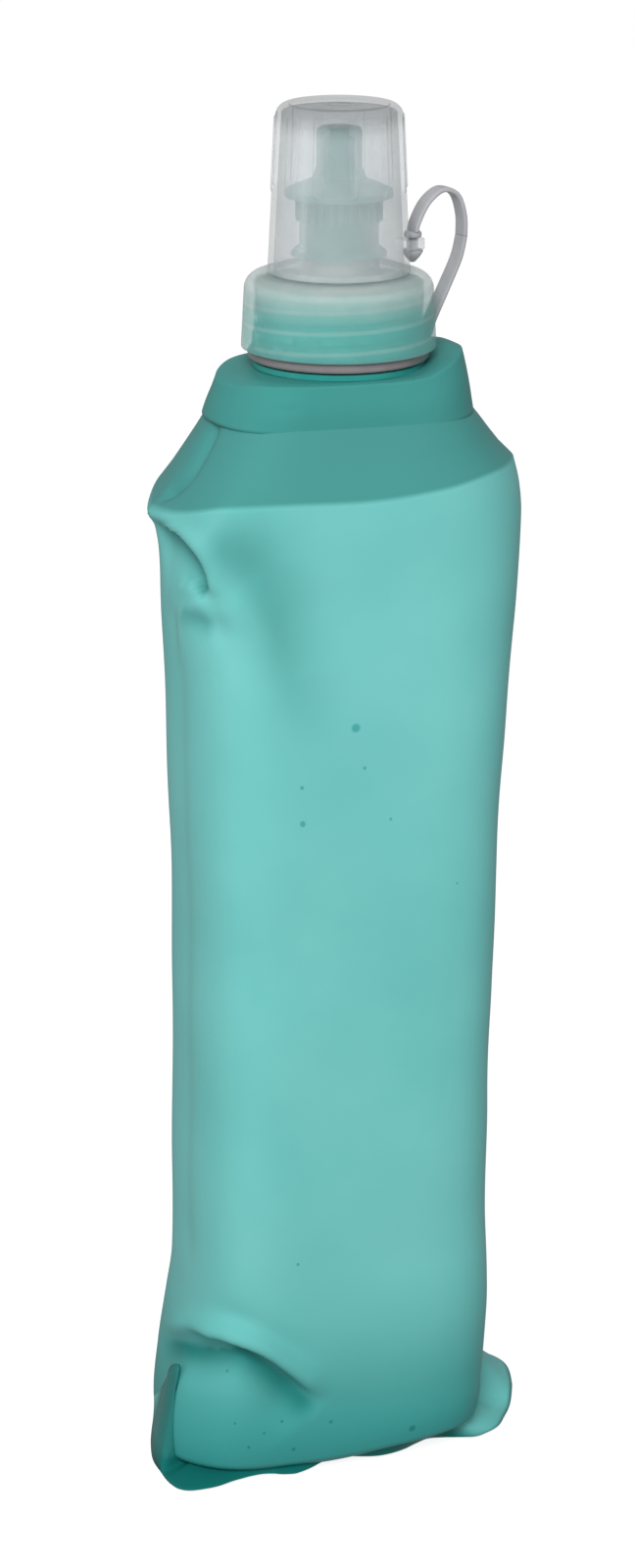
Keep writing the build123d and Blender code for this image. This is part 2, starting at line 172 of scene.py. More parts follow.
def tpu_film(name, thin, thick, painted_shade_bands=(), bubbles=()):
    """Calendered TPU film, dyed through in teal. The roller leaves it satin, so its highlights are broad
    and weak, with a fine orange peel. It has faint clouds where it is thicker, painted shade between the
    levels given and along the folds marked as shaded, and a few small dark bubbles."""
    material, tree, shader = new_material(name, Roughness=0.42, IOR=1.5, Specular_IOR_Level=0.12)
    unrolled = add_node(tree, "ShaderNodeUVMap", {"uv_map": "film"})
    sheet = add_node(tree, "ShaderNodeMapping", values={"Scale": (FILM_AROUND, FILM_UP, 1.0)},
                     Vector=unrolled.outputs["UV"])
    clouds = add_node(tree, "ShaderNodeTexNoise",
                      values={"Scale": 1 / CLOUD, "Detail": 3.0, "Roughness": 0.5},
                      Vector=sheet.outputs["Vector"])
    share = add_node(tree, "ShaderNodeMapRange", values={"From Min": 0.3, "From Max": 0.7},
                     Value=clouds.outputs["Fac"])
    tint = add_node(tree, "ShaderNodeMix", {"data_type": "RGBA"},
                    {6: to_linear(thin), 7: to_linear(thick)}, i0=share.outputs["Result"])
    colour = tint.outputs[2]
    place = add_node(tree, "ShaderNodeSeparateXYZ", Vector=sheet.outputs["Vector"])
    # painted shade: between each band's two levels the colour darkens to its deep tone
    for deep, start, full in painted_shade_bands:
        depth = add_node(tree, "ShaderNodeMapRange", {"interpolation_type": "SMOOTHSTEP"},
                         {"From Min": start, "From Max": full}, Value=place.outputs["Y"])
        mixed = add_node(tree, "ShaderNodeMix", {"data_type": "RGBA"}, {7: to_linear(deep)},
                         i0=depth.outputs["Result"], i6=colour)
        colour = mixed.outputs[2]
    # painted shade: the film darkens where its folds' creases and recesses are marked
    painted_shade = add_node(tree, "ShaderNodeAttribute", {"attribute_name": "painted_shade"})
    mixed = add_node(tree, "ShaderNodeMix", {"data_type": "RGBA"}, {7: to_linear(PAINTED_SHADE_TEAL)},
                     i0=painted_shade.outputs["Fac"], i6=colour)
    colour = mixed.outputs[2]
    for across, level, radius in bubbles:
        gap = add_node(tree, "ShaderNodeVectorMath", {"operation": "DISTANCE"},
                       {1: (on_front(across, level), level, 0)}, i0=sheet.outputs["Vector"])
        spot = add_node(tree, "ShaderNodeMapRange", {"interpolation_type": "SMOOTHSTEP"},
                        {"From Min": radius * BUBBLE_EDGE[0], "From Max": radius * BUBBLE_EDGE[1]},
                        Value=gap.outputs["Value"])
        mixed = add_node(tree, "ShaderNodeMix", {"data_type": "RGBA", "blend_type": "MULTIPLY"},
                         {7: to_linear(BUBBLE_TINT)}, i0=spot.outputs["Result"], i6=colour)
        colour = mixed.outputs[2]
    tree.links.new(colour, shader.inputs["Base Color"])
    peel = add_node(tree, "ShaderNodeTexNoise",
                    values={"Scale": 1 / PEEL, "Detail": 2.0, "Roughness": 0.6},
                    Vector=sheet.outputs["Vector"])
    bump = add_node(tree, "ShaderNodeBump", values={"Strength": 0.05, "Distance": PEEL_RELIEF * MM},
                    Height=peel.outputs["Fac"])
    tree.links.new(bump.outputs["Normal"], shader.inputs["Normal"])
    return material


MELT_FLOW = 4.0             # size of the streaks that the melt leaves in the colour
MOULD_GRAIN = 10 / 9        # size of the mould's grain, drawn coarser than the real one so that it shows
MOULD_RELIEF = 0.08         # height that the grain is drawn from
NOZZLE_CORE = 11.0, 5.0     # radii where the nozzle's core starts to show, and where it shows in full
ROOF_SHADE_LEVELS = 240.0, 244.0   # levels where the cover's painted shade greys it towards its roof's edge
THREAD_PITCH = 3.5          # the neck's thread, as on the solid
THREAD_LINE = 0.03, 0.16    # half width of a thread line, from full to gone, as a share of the pitch
NECK_REACH = 217.5, 208.5   # levels in the collar above and below the end of the neck's thread


def moulded(name, light, deep, roughness, transmission, **values):
    """A moulded plastic: two close tones along the melt's flow, how clear it is, and the mould's grain."""
    material, tree, shader = new_material(name, Roughness=roughness, Transmission_Weight=transmission,
                                          **values)
    place = add_node(tree, "ShaderNodeTexCoord")
    melt = add_node(tree, "ShaderNodeTexNoise",
                    values={"Scale": 1 / (MELT_FLOW * MM), "Detail": 2.0, "Roughness": 0.5},
                    Vector=place.outputs["Object"])
    share = add_node(tree, "ShaderNodeMapRange", values={"From Min": 0.3, "From Max": 0.7},
                     Value=melt.outputs["Fac"])
    tint = add_node(tree, "ShaderNodeMix", {"data_type": "RGBA"},
                    {6: to_linear(light), 7: to_linear(deep)}, i0=share.outputs["Result"])
    tree.links.new(tint.outputs[2], shader.inputs["Base Color"])
    skin = add_node(tree, "ShaderNodeTexNoise", values={"Scale": 1 / (MOULD_GRAIN * MM), "Detail": 3.0},
                    Vector=place.outputs["Object"])
    bump = add_node(tree, "ShaderNodeBump", values={"Strength": 0.25, "Distance": MOULD_RELIEF * MM},
                    Height=skin.outputs["Fac"])
    tree.links.new(bump.outputs["Normal"], shader.inputs["Normal"])
    return material


def nozzle_plastic():
    """Polypropylene moulded in milky resin round a teal core: half see-through, and teal at its tip."""
    material = moulded("milky_nozzle_polypropylene", "#A2DED8", "#96D6D0", 0.30, 0.10, IOR=1.49, Alpha=0.48)
    tree, shader = material.node_tree, material.node_tree.nodes["Principled BSDF"]
    place = add_node(tree, "ShaderNodeTexCoord")
    flat = add_node(tree, "ShaderNodeVectorMath", {"operation": "MULTIPLY"}, {1: (1, 1, 0)},
                    i0=place.outputs["Object"])
    radius = add_node(tree, "ShaderNodeVectorMath", {"operation": "LENGTH"}, i0=flat.outputs["Vector"])
    core = add_node(tree, "ShaderNodeMapRange", {"interpolation_type": "SMOOTHSTEP"},
                    {"From Min": NOZZLE_CORE[0] * MM, "From Max": NOZZLE_CORE[1] * MM},
                    Value=radius.outputs["Value"])
    pale = shader.inputs["Base Color"].links[0].from_socket
    mixed = add_node(tree, "ShaderNodeMix", {"data_type": "RGBA"}, {7: to_linear("#3FAFA8")},
                     i0=core.outputs["Result"], i6=pale)
    tree.links.new(mixed.outputs[2], shader.inputs["Base Color"])
    return material


def cover_plastic():
    """Clear polypropylene from a polished mould: see-through with sharp glare, and painted shade greying it
    at the roof.
    """
    material = moulded("clear_cover_polypropylene", "#E4EAEC", "#DAE0E3", 0.20, 0.30, IOR=1.49, Alpha=0.38)
    tree, shader = material.node_tree, material.node_tree.nodes["Principled BSDF"]
    place = add_node(tree, "ShaderNodeTexCoord")
    split = add_node(tree, "ShaderNodeSeparateXYZ", Vector=place.outputs["Object"])
    # painted shade: the cover turns grey towards its roof's edge
    roof_shade = add_node(tree, "ShaderNodeMapRange", {"interpolation_type": "SMOOTHSTEP"},
                    {"From Min": ROOF_SHADE_LEVELS[0] * MM, "From Max": ROOF_SHADE_LEVELS[1] * MM},
                    Value=split.outputs["Z"])
    pale = shader.inputs["Base Color"].links[0].from_socket
    mixed = add_node(tree, "ShaderNodeMix", {"data_type": "RGBA"}, {7: to_linear("#8E9598")},
                     i0=roof_shade.outputs["Result"], i6=pale)
    tree.links.new(mixed.outputs[2], shader.inputs["Base Color"])
    return material


def collar_plastic():
    """Frosted polypropylene, which scatters light inside: soft and milky, pale above the neck, and teal
    where the neck's thread fills it, with the thread's crests as thin pale lines."""
    material = moulded("frosted_collar_polypropylene", "#DDEDEA", "#D0E4E0", 0.34, 0.0, IOR=1.49,
                       Alpha=0.55, Subsurface_Weight=0.8, Subsurface_Scale=0.006,
                       Subsurface_Radius=(1.0, 1.0, 1.0))
    tree, shader = material.node_tree, material.node_tree.nodes["Principled BSDF"]
    place = add_node(tree, "ShaderNodeTexCoord")
    split = add_node(tree, "ShaderNodeSeparateXYZ", Vector=place.outputs["Object"])
    azimuth = add_node(tree, "ShaderNodeMath", {"operation": "ARCTAN2"}, i0=split.outputs["Y"],
                       i1=split.outputs["X"])
    turns = add_node(tree, "ShaderNodeMath", {"operation": "DIVIDE"}, {1: tau}, i0=azimuth.outputs["Value"])
    pitches = add_node(tree, "ShaderNodeMath", {"operation": "DIVIDE"}, {1: THREAD_PITCH * MM},
                       i0=split.outputs["Z"])
    phase = add_node(tree, "ShaderNodeMath", {"operation": "SUBTRACT"}, i0=pitches.outputs["Value"],
                     i1=turns.outputs["Value"])
    thread = add_node(tree, "ShaderNodeMath", {"operation": "PINGPONG"}, {1: 0.5},
                      i0=phase.outputs["Value"])
    crest = add_node(tree, "ShaderNodeMapRange", {"interpolation_type": "SMOOTHSTEP"},
                     {"From Min": THREAD_LINE[0], "From Max": THREAD_LINE[1], "To Min": 0.7, "To Max": 1.0},
                     Value=thread.outputs["Value"])
    filled = add_node(tree, "ShaderNodeMapRange", {"interpolation_type": "SMOOTHSTEP"},
                      {"From Min": NECK_REACH[0] * MM, "From Max": NECK_REACH[1] * MM},
                      Value=split.outputs["Z"])
    share = add_node(tree, "ShaderNodeMath", {"operation": "MULTIPLY"}, i0=crest.outputs["Result"],
                     i1=filled.outputs["Result"])
    pale = shader.inputs["Base Color"].links[0].from_socket
    mixed = add_node(tree, "ShaderNodeMix", {"data_type": "RGBA"}, {7: to_linear("#78CEC7")},
                     i0=share.outputs["Value"], i6=pale)
    tree.links.new(mixed.outputs[2], shader.inputs["Base Color"])
    return material


# ============================ shaping helpers ============================

def smooth(value, low, high):
    """0 below low, 1 above high, and an even S between them."""
    share = min(max((value - low) / (high - low), 0.0), 1.0)
    return share * share * (3 - 2 * share)


def faded(run, fade):
    """How strong a fold is at this share of its length: it fades in up to fade[0] and out from fade[1]."""
    return smooth(run, 0.0, fade[0]) * (1 - smooth(run, fade[1], 1.0))


def between(table, key):
    """The row of numbers at key, from a table of (key, numbers...) rows, on a smooth curve through them."""
    if key <= table[0][0]:
        return table[0][1:]
    if key >= table[-1][0]:
        return table[-1][1:]
    index = max(i for i, row in enumerate(table) if row[0] <= key)
    low, high = table[index], table[index + 1]
    before, after = table[max(index - 1, 0)], table[min(index + 2, len(table) - 1)]
    run = high[0] - low[0]
    s = (key - low[0]) / run
    row = []
    for z, a, b, c in zip(before[1:], low[1:], high[1:], after[1:]):
        out = (b - z) / (high[0] - before[0]) * run
        into = (c - a) / (after[0] - low[0]) * run
        row.append(a + s * (out + s * (3 * (b - a) - 2 * out - into + s * (out + into - 2 * (b - a)))))
    return tuple(row)


def along(table, key):
    """The same, in straight lines from row to row."""
    if key <= table[0][0]:
        return table[0][1:]
    for low, high in zip(table, table[1:]):
        if key <= high[0]:
            share = (key - low[0]) / (high[0] - low[0])
            return tuple(a + (b - a) * share for a, b in zip(low[1:], high[1:]))
    return table[-1][1:]


FRONT_CORNER = 1.25          # how much squarer the bag's front left corner is than its rear one


def flat_oval(turn, left, right, front, rear, sharp_left, sharp_right, ends):
    """A point on a flattened oval: half widths, half depths, how square each side is, and how blunt the
    ends are."""
    across = cos(turn)
    half, sharp = (right, sharp_right) if across > 0 else (left, sharp_left)
    if across < 0 and sin(turn) < 0:
        sharp *= FRONT_CORNER
    depth = front if sin(turn) < 0 else rear
    bulge = (1 - abs(across) ** sharp) ** ends
    return half * across, (depth if sin(turn) > 0 else -depth) * bulge


def settle_order(bm):
    """Puts edges and faces in the order of their vertices, because the operators make them in an order that
    changes from run to run."""
    bm.verts.index_update()
    count = len(bm.verts)
    for parts in (bm.edges, bm.faces):
        parts.sort(key=lambda part: min(v.index for v in part.verts) * count
                   + max(v.index for v in part.verts))


def new_piece(name, mesh_builder, *materials):
    """A finished object with its place in its mesh: the builder fills a bmesh in millimetres."""
    bm = bmesh.new()
    mesh_builder(bm)
    settle_order(bm)
    bmesh.ops.scale(bm, vec=(MM, MM, MM), verts=bm.verts)
    mesh = bpy.data.meshes.new(name)
    bm.to_mesh(mesh)
    bm.free()
    piece = bpy.data.objects.new(name, mesh)
    bpy.context.scene.collection.objects.link(piece)
    for material in materials:
        mesh.materials.append(material)
    mesh.shade_smooth()
    return piece


def ring_edges(bm, ring):
    """The edges that join these vertices."""
    ring = set(ring)
    return [edge for edge in bm.edges if all(vert in ring for vert in edge.verts)]


def rolled_film(bm, around, levels):
    """A tube of film as a drawn grid: each vertex keeps its turn about the axis and its level up the
    film."""
    turn = bm.verts.layers.float.new("turn")
    level = bm.verts.layers.float.new("level")
    ring = bmesh.ops.create_circle(bm, segments=around, radius=1.0)["verts"]
    for vert in ring:
        vert[turn] = atan2(vert.co.y, vert.co.x) % tau
        vert[level] = levels[0]
    edges = ring_edges(bm, ring)
    for height in levels[1:]:
        drawn = bmesh.ops.extrude_edge_only(bm, edges=edges)["geom"]
        for vert in (g for g in drawn if isinstance(g, bmesh.types.BMVert)):
            vert[level] = height
        edges = [g for g in drawn if isinstance(g, bmesh.types.BMEdge)]
    return turn, level


def lay_film_map(bm, turn, level):
    """Unrolls the film for its material: across is the share of a turn, up the share of the height that
    the film is measured by."""
    film = bm.loops.layers.uv.new("film")
    for face in bm.faces:
        shares = [loop.vert[turn] / tau for loop in face.loops]
        for loop, share in zip(face.loops, shares):
            if max(shares) - min(shares) > 0.5 and share < 0.5:
                share += 1.0
            loop[film].uv = (share, loop.vert[level] / FILM_UP)


def face_outwards(bm):
    """Turns every face of an upright open shell away from the neck's axis."""
    bmesh.ops.recalc_face_normals(bm, faces=bm.faces)
    outward = sum(face.normal.x * face.calc_center_median().x + face.normal.y * face.calc_center_median().y
                  for face in bm.faces)
    if outward < 0:
        bmesh.ops.reverse_faces(bm, faces=bm.faces)
    bm.normal_update()


def film_wall(piece):
    """Gives a sheet the film's thickness, inwards."""
    wall = piece.modifiers.new("film thickness", "SOLIDIFY")
    wall.thickness = FILM * MM
    wall.offset = -1.0
    wall.use_even_offset = False


# ============================ the bag's sleeve ============================

# level: half width left and right, half depth front and rear, squareness left and right, bluntness of
# the ends, shift in x and y
SLEEVE_SECTIONS = [
    (1.0, 30.0, 24.0, 18.0, 21.0, 6.0, 5.0, 0.42, -1.0, 0.0),
    (3.5, 32.2, 26.5, 21.3, 21.5, 6.0, 4.6, 0.42, -1.0, 0.0),
    (16.0, 31.6, 27.2, 22.5, 22.0, 5.6, 4.6, 0.42, -0.7, 0.0),
    (26.0, 30.6, 27.1, 22.9, 23.0, 5.4, 4.6, 0.43, -0.2, 0.0),
    (34.0, 29.7, 26.8, 23.0, 23.5, 5.2, 4.6, 0.44, 0.0, 0.0),
    (60.0, 29.2, 26.5, 23.2, 23.4, 5.0, 4.6, 0.44, 0.0, 0.0),
    (105.0, 29.1, 27.1, 23.0, 23.0, 5.0, 5.0, 0.44, 0.0, 0.0),
    (140.0, 30.0, 29.4, 22.2, 22.2, 4.8, 4.6, 0.46, 0.0, 0.0),
    (160.0, 30.7, 31.3, 21.7, 21.5, 4.8, 4.0, 0.50, 0.0, 0.0),
    (172.0, 31.6, 32.6, 21.7, 21.0, 4.8, 3.6, 0.58, 0.0, 0.0),
    (177.0, 32.4, 32.3, 21.7, 20.8, 4.8, 3.5, 0.62, 0.0, 0.0),
    (181.0, 33.2, 31.4, 21.7, 20.6, 4.8, 3.4, 0.66, 0.0, 0.0),
]
SHOULDER_SECTIONS = [
    (181.0, 33.2, 31.4, 21.7, 20.6, 4.8, 3.4, 0.66, 0.0, 0.0),
    (184.0, 30.4, 28.9, 20.2, 19.4, 4.6, 3.5, 0.64, 0.0, 0.0),
    (187.0, 27.9, 26.9, 18.8, 18.3, 4.4, 3.6, 0.62, 0.0, 0.0),
    (190.0, 25.3, 25.0, 17.7, 17.4, 4.2, 3.8, 0.58, 0.0, 0.0),
    (193.8, 22.2, 22.4, 16.5, 16.5, 4.0, 4.0, 0.55, 0.0, 0.0),
]
# how much higher the foot is at the front right, where that starts and is full across the bag and
# towards its front, and the level where it ends
FOOT_RISE, RISE_ACROSS, RISE_FORWARD, RISE_TOP = 2.4, (-8, 20), (0, 8), 14
# the front left corner, drawn out by the hem's seam up to where its pull fades
CORNER_PULL, CORNER_AZIMUTH, CORNER_SPREAD, CORNER_FADE = 2.2, radians(199), radians(11), (16, 28)
# the sharp tip at the crease's left end
TIP_PULL, TIP_LEVEL, TIP_HEIGHT, TIP_SPREAD = 0.9, 180.0, 1.6, radians(9)
# across the bag: how far the crease lies above or below its level in the middle
CREASE_LINE = [
    (-34.0, -3.9), (-30.0, -1.7), (-26.0, -0.3), (-18.0, 0.2), (0.0, 0.0), (14.0, 1.2), (24.0, 2.4),
    (33.0, 2.2),
]
CREASE_LEFT, CREASE_RIGHT = 34, 33      # half widths that the crease line is drawn to
CREASE_REACH = 150          # from this level up, the film leans with the crease


def sleeve_point(turn, level):
    """A point of the smooth sleeve, before its folds."""
    if level <= CREASE:
        row = between(SLEEVE_SECTIONS, level)
        reach = smooth(level, CREASE_REACH, CREASE)
    else:
        row = along(SHOULDER_SECTIONS, level)
        reach = 1 - (level - CREASE) / (SLEEVE_TOP - CREASE)
    x, y = flat_oval(turn, *row[:7])
    azimuth = atan2(y, x) % tau
    spread = x / row[0] * CREASE_LEFT if x < 0 else x / row[1] * CREASE_RIGHT
    corner = (1 - smooth(level, *CORNER_FADE)) * exp(-((azimuth - CORNER_AZIMUTH) / CORNER_SPREAD) ** 2)
    tip = exp(-((level - TIP_LEVEL) / TIP_HEIGHT) ** 2) * exp(-((azimuth - pi) / TIP_SPREAD) ** 2)
    rise = smooth(x, *RISE_ACROSS) * smooth(-y, *RISE_FORWARD) * (1 - smooth(level, SLEEVE_FOOT, RISE_TOP))
    return Vector((x + row[7] - CORNER_PULL * corner - TIP_PULL * tip, y + row[8],
                   level + FOOT_RISE * rise + reach * between(CREASE_LINE, spread)[0]))


def on_front(across, level):
    """How far round the unrolled film, in mm, a place on the bag's front is."""
    row = between(SLEEVE_SECTIONS, level)
    offset = across - row[7]
    return FILM_AROUND * (1 - acos(offset / (row[0] if offset < 0 else row[1])) / tau)


def drawn_curve(knots, steps):
    """Points along a smooth curve through the knots."""
    line = []
    for index in range(len(knots) - 1):
        before = knots[max(index - 1, 0)]
        after = knots[min(index + 2, len(knots) - 1)]
        a, b = knots[index], knots[index + 1]
        line += geometry.interpolate_bezier(a, a + (b - before) / 6, b - (after - a) / 6, b, steps + 1)[:-1]
    return line + [knots[-1]]


def near_line(point, line):
    """How far a point is from a line of points, where along it that is from 0 to 1, and whether it lies to
    the right of a walk along the line, as seen from outside."""
    best = (1e9, 0.0, True)
    runs = len(line) - 1
    for index, (a, b) in enumerate(zip(line, line[1:])):
        run = b - a
        share = min(max((point - a).dot(run) / run.length_squared, 0.0), 1.0)
        away = point - (a + run * share)
        if away.length < best[0]:
            outward = Vector((a.x, a.y, 0))
            best = (away.length, (index + share) / runs, away.dot(run.cross(outward)) > 0)
    return best


FOLD_STEPS = 4              # points of a fold's line for each of its knots
FAR = 3                     # a fold is nothing beyond this many times its reach
SHADE_BACK, SHADE_HEIGHT = 12, 40     # the left half of the film that a fold's painted shade can reach


def fold(verts, line, lift, left, right, crisp, fade):
    """Raises or presses the film along a line: lift in mm, its reach to the left and right of the walk
    along the line, how crisp it is, from 1 for a sharp crease to 2 for a soft one, and its fade."""
    line = drawn_curve([Vector(p) for p in line], FOLD_STEPS)
    low = Vector([min(p[i] for p in line) - FAR * max(left, right) for i in range(3)])
    high = Vector([max(p[i] for p in line) + FAR * max(left, right) for i in range(3)])
    moves = []
    for vert in verts:
        if all(low[i] < vert.co[i] < high[i] for i in range(3)):
            distance, share, on_right = near_line(vert.co, line)
            reach = right if on_right else left
            if distance < FAR * reach:
                height = lift * faded(share, fade) * exp(-(distance / reach) ** crisp)
                moves.append((vert, vert.normal * height))
    for vert, move in moves:
        vert.co += move


def paint_shade(verts, painted_shade, line, share, left, right, fade):
    """Marks painted shade on the film beside a line: how much, its reach to the left and right, and its
    fade.
    """
    line = drawn_curve([Vector(p) for p in line], FOLD_STEPS)
    for vert in verts:
        near = vert.co.y < SHADE_BACK and abs(vert.co.z - line[0].z) < SHADE_HEIGHT
        if vert.co.x < 0 and near:
            distance, run, on_right = near_line(vert.co, line)
            reach = right if on_right else left
            vert[painted_shade] = max(vert[painted_shade], share * faded(run, fade) * exp(-(distance / reach) ** 2))


# line on the film, lift along its normal, reach to its left and right, crispness, and where along it
# the fold has faded in and starts to fade out
FOLDS = [
    # the side gusset beside the slanted shoulder: a groove down to the left tip
    ([(-23.3, -4.4, 193.4), (-24.6, -5.4, 188.7), (-26.8, -6.2, 184.6), (-29.2, -4.8, 181.4),
      (-31.6, -1.5, 178.6)],
     -1.7, 0.9, 1.5, 1.3, (0.1, 0.9)),
    # the dent below the left tip: a crisp ridge with the side pressed in behind it
    ([(-32.6, 0.5, 176.0), (-31.9, -6.0, 174.6), (-30.6, -10.6, 172.6), (-29.2, -13.2, 170.2),
      (-28.2, -14.6, 167.4), (-28.2, -14.4, 164.6)],
     -2.6, 0.9, 8.0, 1.6, (0.15, 0.8)),
    ([(-32.5, 1.5, 176.9), (-31.9, -7.0, 175.7), (-30.0, -12.3, 173.8), (-28.2, -15.2, 171.4),
      (-27.2, -16.3, 168.4), (-27.4, -16.0, 165.0)],
     1.1, 2.4, 1.0, 1.6, (0.1, 0.85)),
    ([(-27.6, -15.6, 164.8), (-29.2, -11.0, 162.4), (-30.4, -7.2, 159.6), (-30.6, -5.6, 155.0),
      (-30.3, -5.0, 148.0)],
     0.8, 2.6, 1.0, 1.6, (0.15, 0.6)),
    # the edge between the front and the side, pressed in behind
    ([(-30.9, -6.2, 161.0), (-30.3, -5.2, 148.0), (-29.6, -4.6, 120.0), (-29.3, -4.6, 90.0),
      (-29.3, -4.8, 60.0), (-29.8, -5.4, 34.0)],
     -0.4, 2.8, 5.0, 1.8, (0.1, 0.9)),
    # soft valleys that run from the dent across the front
    ([(-24.6, -17.6, 174.6), (-20.0, -20.4, 169.5), (-15.5, -21.5, 162.0), (-12.0, -21.9, 150.0)],
     -1.5, 6.0, 8.0, 2.0, (0.35, 0.65)),
    ([(-26.0, -16.0, 165.6), (-22.0, -19.2, 163.0), (-18.2, -20.9, 158.0), (-16.0, -21.4, 149.0)],
     0.8, 3.5, 3.5, 2.0, (0.3, 0.6)),
    ([(-29.8, -9.4, 160.0), (-27.0, -15.0, 159.6), (-23.0, -19.0, 160.0)],
     -0.9, 2.4, 2.4, 2.0, (0.4, 0.6)),
    # the long fold above the front left corner: a roll over a deep recess
    ([(-31.8, 5.5, 17.6), (-31.6, -9.0, 24.0), (-28.8, -17.4, 25.8), (-24.0, -21.0, 26.0),
      (-19.9, -22.4, 23.8), (-15.6, -22.8, 20.0), (-12.0, -22.7, 16.2), (-9.6, -22.5, 13.6)],
     -4.4, 2.2, 5.5, 1.5, (0.2, 0.75)),
    ([(-31.8, 6.5, 19.4), (-31.6, -8.0, 26.4), (-27.8, -17.4, 28.6), (-23.6, -20.9, 28.7),
      (-19.4, -22.5, 26.6), (-15.0, -22.9, 22.8), (-11.4, -22.8, 18.8), (-9.0, -22.5, 15.0)],
     3.0, 2.2, 1.8, 2.0, (0.15, 0.8)),
    ([(-28.5, -14.0, 32.0), (-24.5, -20.0, 32.4), (-19.6, -22.4, 30.2), (-14.2, -22.9, 26.2),
      (-9.6, -22.7, 21.2)],
     -0.8, 2.4, 1.2, 1.8, (0.3, 0.7)),
    # small crumples at the front right corner
    ([(24.0, -15.5, 12.5), (27.0, -10.0, 11.0), (28.4, -4.0, 9.5)],
     -1.2, 1.2, 1.2, 1.4, (0.3, 0.7)),
    ([(22.5, -16.8, 8.6), (25.8, -13.2, 7.4)],
     -0.9, 1.0, 1.0, 1.4, (0.4, 0.6)),
    # the back, where the emptied bag has the same kind of folds
    ([(30.5, 4.0, 172.0), (27.0, 13.5, 168.0), (20.0, 19.0, 160.0), (12.0, 21.5, 150.0)],
     -1.6, 3.6, 3.6, 1.8, (0.3, 0.7)),
    ([(-29.0, 10.0, 168.0), (-22.0, 18.5, 164.0), (-14.0, 21.0, 156.0)],
     -1.2, 3.0, 3.0, 2.0, (0.4, 0.6)),
    ([(28.0, 12.0, 24.0), (20.0, 21.0, 30.0), (8.0, 23.2, 27.0), (-2.0, 23.4, 20.0)],
     -1.8, 3.0, 2.2, 1.6, (0.3, 0.7)),
]

# painted shade in the folds' creases and recesses, under the roll, behind the dent's ridge and in the
# valleys: line, how much, its reach to the left and right, and its fade
PAINTED_SHADE_LINES = [
    ([(-31.8, 5.5, 17.0), (-31.6, -9.0, 23.4), (-28.8, -17.4, 25.2), (-24.0, -21.0, 25.2),
      (-19.9, -22.4, 23.0), (-15.6, -22.8, 19.2), (-12.0, -22.7, 15.6), (-9.4, -22.5, 13.4)],
     0.95, 1.2, 3.2, (0.1, 0.85)),
    ([(-32.6, 0.5, 175.6), (-31.9, -6.0, 174.2), (-30.6, -10.6, 172.2), (-29.2, -13.2, 169.8),
      (-28.2, -14.6, 167.0), (-28.6, -14.0, 164.6)],
     0.75, 0.9, 4.0, (0.15, 0.9)),
    ([(-27.0, -15.5, 177.0), (-22.0, -19.5, 171.0), (-17.0, -21.3, 162.0), (-13.5, -21.8, 148.0),
      (-12.5, -21.9, 134.0)],
     0.45, 7.0, 5.0, (0.15, 0.5)),
    ([(-30.4, -9.0, 162.0), (-29.0, -12.0, 160.4), (-26.0, -16.4, 160.4)],
     0.4, 1.5, 3.0, (0.3, 0.7)),
]

# up to each level, the spacing of the sleeve's rows: close where the folds are
ROW_SPACING = [(7.0, 0.5), (34.0, 0.62), (44.0, 1.2), (148.0, 2.2), (156.0, 1.2), (CREASE - 1.4, 0.75)]
SLEEVE_AROUND, SHOULDER_ROWS = 252, 14
# the front left film that is softened after it is folded: its levels, and how far right and back it goes
FOLDED_LEVELS, FOLDED_RIGHT, FOLDED_BACK = ((12, 36), (158, 178)), -4, 6
# the film's slow waves: how high they are, how many there are to a mm, and where they fade in and out
WAVE_HEIGHT, WAVES, WAVE_FOOT, WAVE_TOP = 0.5, 0.045, (4, 30), (160, CREASE)


def sleeve_levels():
    """The levels of the sleeve's rows, from its foot over the crease to its upper edge."""
    levels = [SLEEVE_FOOT]
    for top, spacing in ROW_SPACING:
        while levels[-1] < top:
            levels.append(levels[-1] + spacing)
    levels = [level for level in levels if level < CREASE - 1.0] + [CREASE - 0.5, CREASE, CREASE + 0.4]
    start = levels[-1]
    return levels + [start + (SLEEVE_TOP - start) * (i + 1) / SHOULDER_ROWS for i in range(SHOULDER_ROWS)]


def build_sleeve(bm):
    """The front, back and sides of the bag in one tube: marked with painted shade along its folds, folded,
    softened and given its slow waves."""
    turn, level = rolled_film(bm, SLEEVE_AROUND, sleeve_levels())
    painted_shade = bm.verts.layers.float.new("painted_shade")
    for vert in bm.verts:
        vert.co = sleeve_point(vert[turn], vert[level])
    face_outwards(bm)
    # painted shade along the folds' creases and recesses, marked before the folds are made
    for row in PAINTED_SHADE_LINES:
        paint_shade(bm.verts, painted_shade, *row)
    for row in FOLDS:
        fold(bm.verts, *row)
        bm.normal_update()
    folded = [vert for vert in bm.verts if vert.co.x < FOLDED_RIGHT and vert.co.y < FOLDED_BACK
              and any(low < vert[level] < high for low, high in FOLDED_LEVELS)]
    for _ in range(2):
        bmesh.ops.smooth_vert(bm, verts=folded, factor=0.5, use_axis_x=True, use_axis_y=True,
                              use_axis_z=True)
    for vert in bm.verts:
        ease = smooth(vert[level], *WAVE_FOOT) * (1 - smooth(vert[level], *WAVE_TOP))
        vert.co += vert.normal * WAVE_HEIGHT * ease * noise.noise(vert.co * WAVES)
    lay_film_map(bm, turn, level)


# ============================ top film with its welded band ============================

# the same columns as the sleeve's
BAND_SECTIONS = [
    (BAND_FOOT, 23.75, 23.6, 16.75, 17.2, 4.0, 4.0, 0.56, 0.0, 0.0),
    (196.0, 22.8, 22.9, 16.9, 16.8, 3.6, 3.6, 0.58, 0.0, 0.0),
    (RIM, 21.6, 21.8, 16.2, 16.2, 3.0, 3.0, 0.62, 0.0, 0.0),
]
# across the bag: how far the rim lies above or below its level in the middle
RIM_LINE = [(-22.0, -1.4), (-16.0, -0.2), (0.0, 0.0), (11.0, 0.2), (16.0, 1.4), (20.0, 2.6), (22.0, 2.4)]

